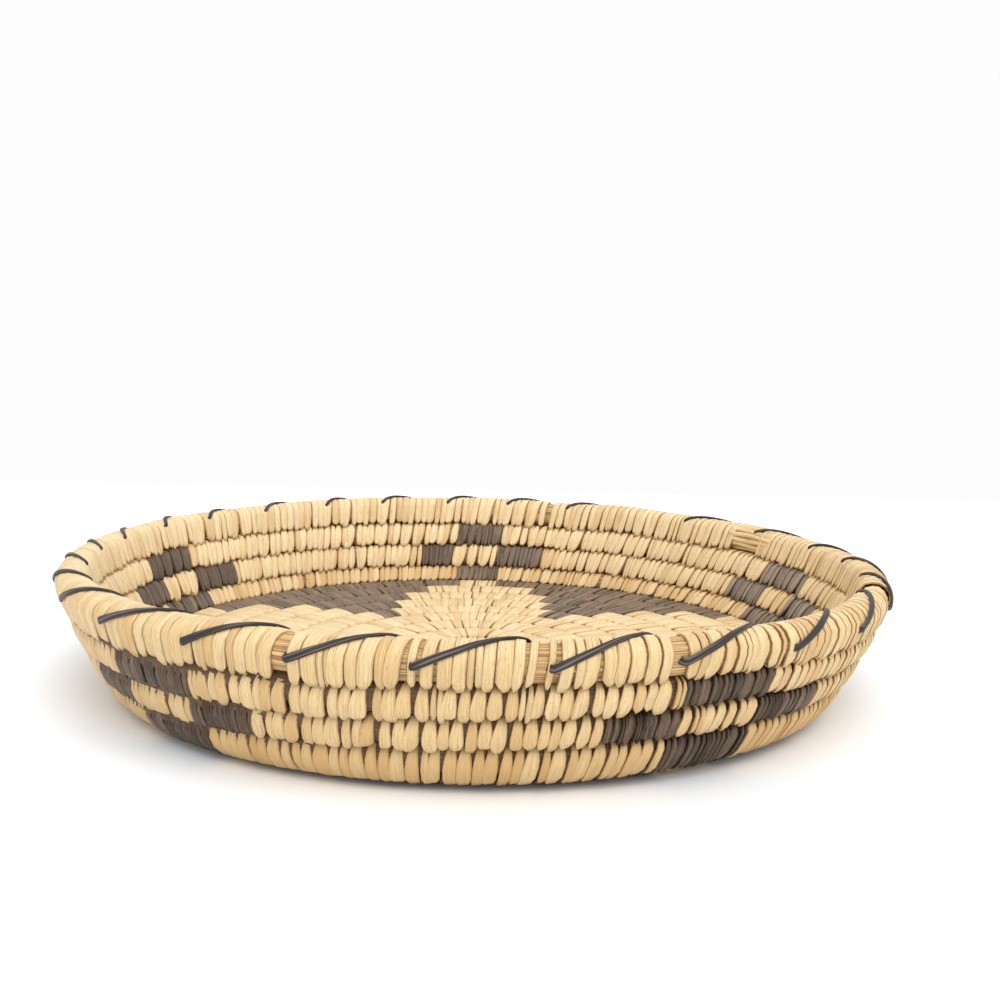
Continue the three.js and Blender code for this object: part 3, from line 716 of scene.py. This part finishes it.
def sewFloor(spec):
    petals = [placeOf(angle) for angle in spec["petals"]]
    isDark = np.zeros(len(allPlaces), bool)
    for wedge, (begin, end) in enumerate(zip(petals, petals[1:] + [petals[0] + 1])):
        chosen = np.zeros(len(allPlaces), bool)
        for row, share in enumerate(spec["petalShares"], coil["wallRows"]):
            start, stop = begin + share * (end - begin) / 2, end - share * (end - begin) / 2
            if stop > 1:
                chosen |= (allPlaces >= row) & (allPlaces < row + stop - 1)
            if start < 1:
                chosen |= (allPlaces >= row + start) & (allPlaces < row + min(stop, 1))
        node = f"floor_wedge_{wedge + 1}"
        layStrips(node + "_strips", node, "dark_strips", np.flatnonzero(chosen), floorStrip)
        isDark |= chosen
    pale = np.flatnonzero((allPlaces >= coil["wallRows"]) & ~isDark)
    layStrips("floor_star_strips", "floor_star", "pale_strips", pale, floorStrip)


sewFloor(pattern)
print("floor sewn")

# directions between which the rim's stitches are left out
bareSpots = [(28.5, 34.5), (74.3, 75.9), (247.6, 249.3), (262.3, 263.9), (292.2, 293.9)]
bare = [(placeOf(low), placeOf(high)) for low, high in bareSpots]
sewStretch("rim_strips", "rim_stitching", "pale_strips", tailPlace, 1, rimStrip, bare)
print("rim sewn")

# strips laid lengthwise under the stitches, which show in the widest bare spot

laidStrips = {
    "angles": (26.5, 36.5), "radius": 1.0, "sides": 8, "rings": 9,
    "round": [16, -9, -34, -59, -84, -109, -134, -156],  # degrees from the rim's crest, outside positive
    "under": 0.86,  # how deep they lie, as a share of the half row
    "waver": 0.05, "waverOver": 0.6, "waverNext": 2,  # how far they waver in radians, along and side by side
    "mapTurn": 6.3, "mapFrom": 0.3, "mapLength": 0.4,  # which part of a strip's finish they show
    "toneFrom": 0.7, "toneSpread": 0.3,
}


def layLaidStrips(spec):
    deselectAll()
    bpy.ops.mesh.primitive_cylinder_add(vertices=spec["sides"], radius=1, depth=1)
    editAll(bpy.context.object)
    for ring in range(1, spec["rings"] - 1):
        bpy.ops.mesh.select_all(action="SELECT")
        bpy.ops.mesh.bisect(plane_co=(0, 0, ring / (spec["rings"] - 1) - 0.5), plane_no=(0, 0, 1))
    bpy.ops.object.mode_set(mode="OBJECT")
    points, faces = takeTemplate()
    low, high = spec["angles"]
    angle = low + (points[:, 2] + 0.5) * (high - low)
    across = points[:, 1] * spec["radius"]
    copies = []
    for number, middle in enumerate(spec["round"]):
        waver = spec["waver"] * np.sin(angle * spec["waverOver"] + number * spec["waverNext"])
        turn = math.radians(middle) + waver
        down = -np.cos(turn) * (spec["under"] + points[:, 0] * spec["radius"] / coil["rimRow"] * 2)
        out = np.sin(turn) * (spec["under"] + points[:, 0] * spec["radius"] / coil["rimThickness"] * 2)
        down = down + across * np.sin(turn) / coil["rimRow"] * 2
        out = out * coil["rimThickness"] / 2 + across * np.cos(turn)
        r, z = inSection(placeOf(angle), down, out)
        copies.append(inSpace(np.radians(angle), r, z))
    stripMap = np.stack([np.arctan2(points[:, 1], points[:, 0]) / spec["mapTurn"] + 0.5,
                         (points[:, 2] + 0.5) * spec["mapLength"] + spec["mapFrom"]], -1)
    count = len(copies)
    seeds = chance.random((count, 2))
    tone = spec["toneFrom"] + seeds[:, 0] * spec["toneSpread"]
    attributes = {"tone": tone, "seed": seeds[:, 1], "lowOchre": np.zeros(count)}
    layCopies("laid_strips", np.array(copies), faces, np.tile(stripMap, (count, 1, 1)), attributes,
              "pale_strips", "rim_stitching")


layLaidStrips(laidStrips)
print("laid strips shown")

# the bundle: straws lie side by side along the coil

bundle = {
    "sides": 40, "stepsPerTurn": 110, "endGap": 0.004,  # the gap at either end in turns
    "straws": 19, "strawDepth": 0.035, "twist": 3,  # radians a turn
    "lumps": 5, "lumpDepth": 0.02, "lumpShift": 40,
    "high": 0.99, "crest": 0.8, "thick": 0.82, "thinnest": 0.2,  # shares of the row and of its thickness
    "squareness": 0.9,  # the power that makes the section fuller below 1
    "mapLength": 60,
}


def makeBundle(spec):
    turn = takeRing(spec["sides"])
    steps = int((startPlace - tailPlace) * spec["stepsPerTurn"])
    places = np.linspace(tailPlace + spec["endGap"], startPlace - spec["endGap"], steps)
    turned = turn[None] + places[:, None] * spec["twist"]
    swell = 1 + spec["strawDepth"] * np.cos(turned * spec["straws"])
    swell = swell + spec["lumpDepth"] * np.cos(spec["lumps"] * turned + places[:, None] * spec["lumpShift"])
    upper = np.cos(turn) < 0
    high = np.where((places[:, None] < 1) & upper, spec["crest"], spec["high"])
    down = np.sign(np.cos(turn)) * np.abs(np.cos(turn)) ** spec["squareness"] * high * swell
    thick = halfThickness(places) * thinning(*coilEdges(places), spec["thinnest"])
    out = np.sin(turn) * spec["thick"] * swell * thick[:, None]
    r, z = inSection(places[:, None], down, out)
    points = inSpace(direction(places)[:, None] + 0 * r, r, z)
    length = places * fullTurn * r.mean(1) / spec["mapLength"]
    maps = np.stack(np.broadcast_arrays((turn / fullTurn) % 1, length[:, None]), -1)
    layCopies("grass_bundle", points.reshape(1, -1, 3), tubeFaces(*r.shape), maps.reshape(1, -1, 2), {},
              "grass_bundle", "foundation_coil")


makeBundle(bundle)
print("bundle laid")

# the lashing: one strand over the rim row and back under it

lashing = {
    "starts": [4.5, 16.8, 33.2, 62, 73, 85, 97, 110, 121, 134, 146.5, 157, 170, 180, 191.75, 204.5, 219.4,
               235.2, 249.2, 263.3, 278.2, 293.3, 309.1, 323.3, 339, 352],
    "reach": 15.4,  # a curl is no longer than this; beyond it the strand goes on inside the coil
    "width": 2.3, "thickness": 0.95, "stand": 0.3, "steps": 60, "sides": 16, "soften": 5,
    "lastCurl": 0.97,  # where the strand ends, as a share of the last curl
    # a curl's course: share of the way to the next one, and degrees from the rim's crest, outside positive;
    # then it goes back through the coil
    "share": [0, 0.04, 0.10, 0.20, 0.34, 0.47, 0.6, 0.70, 0.78, 0.84, 0.89, 0.93],
    "round": [82, 77, 69, 55, 37, 18, 0, -15, -30, -44, -58, -70],
    "narrowing": [1.08, 1.0, 0.98, 0.94, 0.88, 0.82, 0.78, 0.72, 0.68, 0.64, 0.62, 0.6],
    # the furrows between the plies round the strand, and how they swing along it
    "plies": 4, "plyStart": 1.57, "plyDepth": 0.13, "plySharpness": 3, "plySwing": 0.6, "plySwings": 9,
    "mapLength": 4,  # in curls
}


def makeLashing(spec):
    starts = np.array(spec["starts"])
    curls = len(starts)
    starts = np.append(starts, starts[0] + 360)
    fine = np.linspace(0, curls - 1 + spec["lastCurl"], int(curls * spec["steps"]))
    curl, share = np.floor(fine).astype(int), fine % 1
    first, last, lastShare = spec["round"][0], spec["round"][-1], spec["share"][-1]
    turn = np.radians(np.interp(share, spec["share"] + [1], spec["round"] + [first - 360]))
    gap = np.diff(starts)[curl]
    reach = np.minimum(gap, spec["reach"])
    back = np.clip((share - lastShare) / (1 - lastShare), 0, 1)
    angle = np.radians(starts[curl] + share * reach + back * (gap - reach))
    down = -np.cos(turn) * (1 + spec["stand"] / (coil["rimRow"] / 2))
    out = np.sin(turn) * (1 + spec["stand"] / (coil["rimThickness"] / 2))
    ends = [(-math.cos(math.radians(a)), math.sin(math.radians(a))) for a in (last, first)]
    inside = share > lastShare
    down = np.where(inside, ends[0][0] + (ends[1][0] - ends[0][0]) * back, down)
    out = np.where(inside, ends[0][1] + (ends[1][1] - ends[0][1]) * back, out)
    window = np.ones(spec["soften"]) / spec["soften"]
    down, out = (np.convolve(np.pad(course, spec["soften"] // 2, mode="edge"), window, mode="valid")
                 for course in (down, out))
    out = out * coil["rimThickness"] / 2
    middle, core = (inSpace(angle, *besideMiddle(rimTopLevel, rimBottomLevel, down * part, out * part))
                    for part in (1, 0))
    forward = np.gradient(middle, axis=0)
    forward /= np.linalg.norm(forward, axis=1)[:, None]
    outward = middle - core
    outward -= forward * np.sum(outward * forward, 1)[:, None]
    outward /= np.linalg.norm(outward, axis=1)[:, None]
    side = np.cross(forward, outward)
    turn = takeRing(spec["sides"])
    swing = spec["plySwing"] * np.sin(fine[:, None] * spec["plySwings"])
    furrow = np.maximum(np.cos(turn[None] * spec["plies"] - spec["plyStart"] + swing), 0)
    plies = 1 - spec["plyDepth"] * furrow ** spec["plySharpness"]
    width = np.interp(share, spec["share"] + [1], spec["narrowing"] + spec["narrowing"][:1]) * spec["width"]
    up, across = np.sin(turn) * plies, np.cos(turn) * plies * width[:, None]
    points = (middle[:, None] + outward[:, None] * up[..., None] * spec["thickness"] / 2 * mm
              + side[:, None] * across[..., None] / 2 * mm)
    maps = np.stack(np.broadcast_arrays((turn / fullTurn % 1)[None], fine[:, None] / spec["mapLength"]), -1)
    piece = layCopies("lashing_strand", points.reshape(1, -1, 3), tubeFaces(*points.shape[:2]),
                      maps.reshape(1, -1, 2), {}, "lashing_strand", "rim_lashing")
    deselectAll()
    piece.select_set(True)
    editAll(piece)
    bpy.ops.mesh.normals_make_consistent(inside=False)
    bpy.ops.object.mode_set(mode="OBJECT")


makeLashing(lashing)
print("rim lashed")

# the start knot: strips wrapped over a small ring

startKnot = {
    "strips": 13, "ringRadius": 3.3, "hole": 0.1, "half": 5.4, "ringSteps": 52, "sides": 12,
    "ridge": 0.08, "ridgeSharpness": 6, "mapLength": 7, "tone": 0.5, "seed": 0.3,
}


def makeStartKnot(spec):
    deselectAll()
    bpy.ops.mesh.primitive_torus_add(
        major_segments=spec["ringSteps"], minor_segments=spec["sides"], major_radius=spec["ringRadius"],
        minor_radius=spec["ringRadius"] - spec["hole"], location=(0, 0, 0))
    points, faces = takeTemplate()
    angle = np.arctan2(points[:, 1], points[:, 0])
    radius = np.hypot(points[:, 0], points[:, 1])
    ridge = 1 - spec["ridge"] * np.cos(angle * spec["strips"]) ** spec["ridgeSharpness"]
    high = points[:, 2] / spec["ringRadius"] * spec["half"] * ridge + coil["thickness"] / 2
    points = np.stack([np.cos(angle) * radius * ridge, np.sin(angle) * radius * ridge, high], -1) * mm
    maps = np.stack([(angle / fullTurn * spec["strips"]) % 1, radius / spec["mapLength"]], -1)
    attributes = {"seed": [spec["seed"]], "tone": [spec["tone"]], "lowOchre": [0]}
    layCopies("start_knot_strips", points[None], faces, maps[None], attributes, "pale_strips", "start_knot")


makeStartKnot(startKnot)
print("start knot made")

# table, sky and light

room = {
    "tableSize": 4, "tableEdge": 0.5,  # metres; the table ends this far behind the tray
    "tableColour": (0.93, 0.955, 0.98), "tableRoughness": 0.9,
    "skyLevel": 0.98, "seenSky": 0.98,  # its light on things, and its brightness in the picture
    "sunLevel": 1.5, "sunSpread": 50, "sunFrom": (32, 12),
}


def makeRoom(spec):
    deselectAll()
    bpy.ops.mesh.primitive_plane_add(size=spec["tableSize"])
    table = bpy.context.object
    editAll(table)
    bpy.ops.transform.translate(value=(0, spec["tableEdge"] - spec["tableSize"] / 2, 0))
    bpy.ops.object.mode_set(mode="OBJECT")
    table.name = "table"
    look = Finish("tableTop", spec["tableRoughness"], specular=0)
    look.shader.inputs["Base Color"].default_value = (*spec["tableColour"], 1)
    table.data.materials.append(look.material)
    world = bpy.data.worlds.new("softSky")
    bpy.context.scene.world = world
    world.use_nodes = True
    tree = world.node_tree
    sky = tree.nodes["Background"]
    sky.inputs["Color"].default_value = (1, 1, 1, 1)
    path = tree.nodes.new("ShaderNodeLightPath")
    level = tree.nodes.new("ShaderNodeMapRange")
    level.inputs["To Min"].default_value = spec["skyLevel"]
    level.inputs["To Max"].default_value = spec["seenSky"]
    tree.links.new(path.outputs["Is Camera Ray"], level.inputs["Value"])
    tree.links.new(level.outputs["Result"], sky.inputs["Strength"])
    bpy.ops.object.light_add(type="SUN")
    sun = bpy.context.object
    sun.name = "softSun"
    sun.data.energy = spec["sunLevel"]
    sun.data.angle = math.radians(spec["sunSpread"])
    tilt, tiltSide = (math.radians(angle) for angle in spec["sunFrom"])
    sun.rotation_euler = (tilt, tiltSide, 0)


makeRoom(room)
bpy.context.scene.view_settings.view_transform = "Standard"
print("room set")
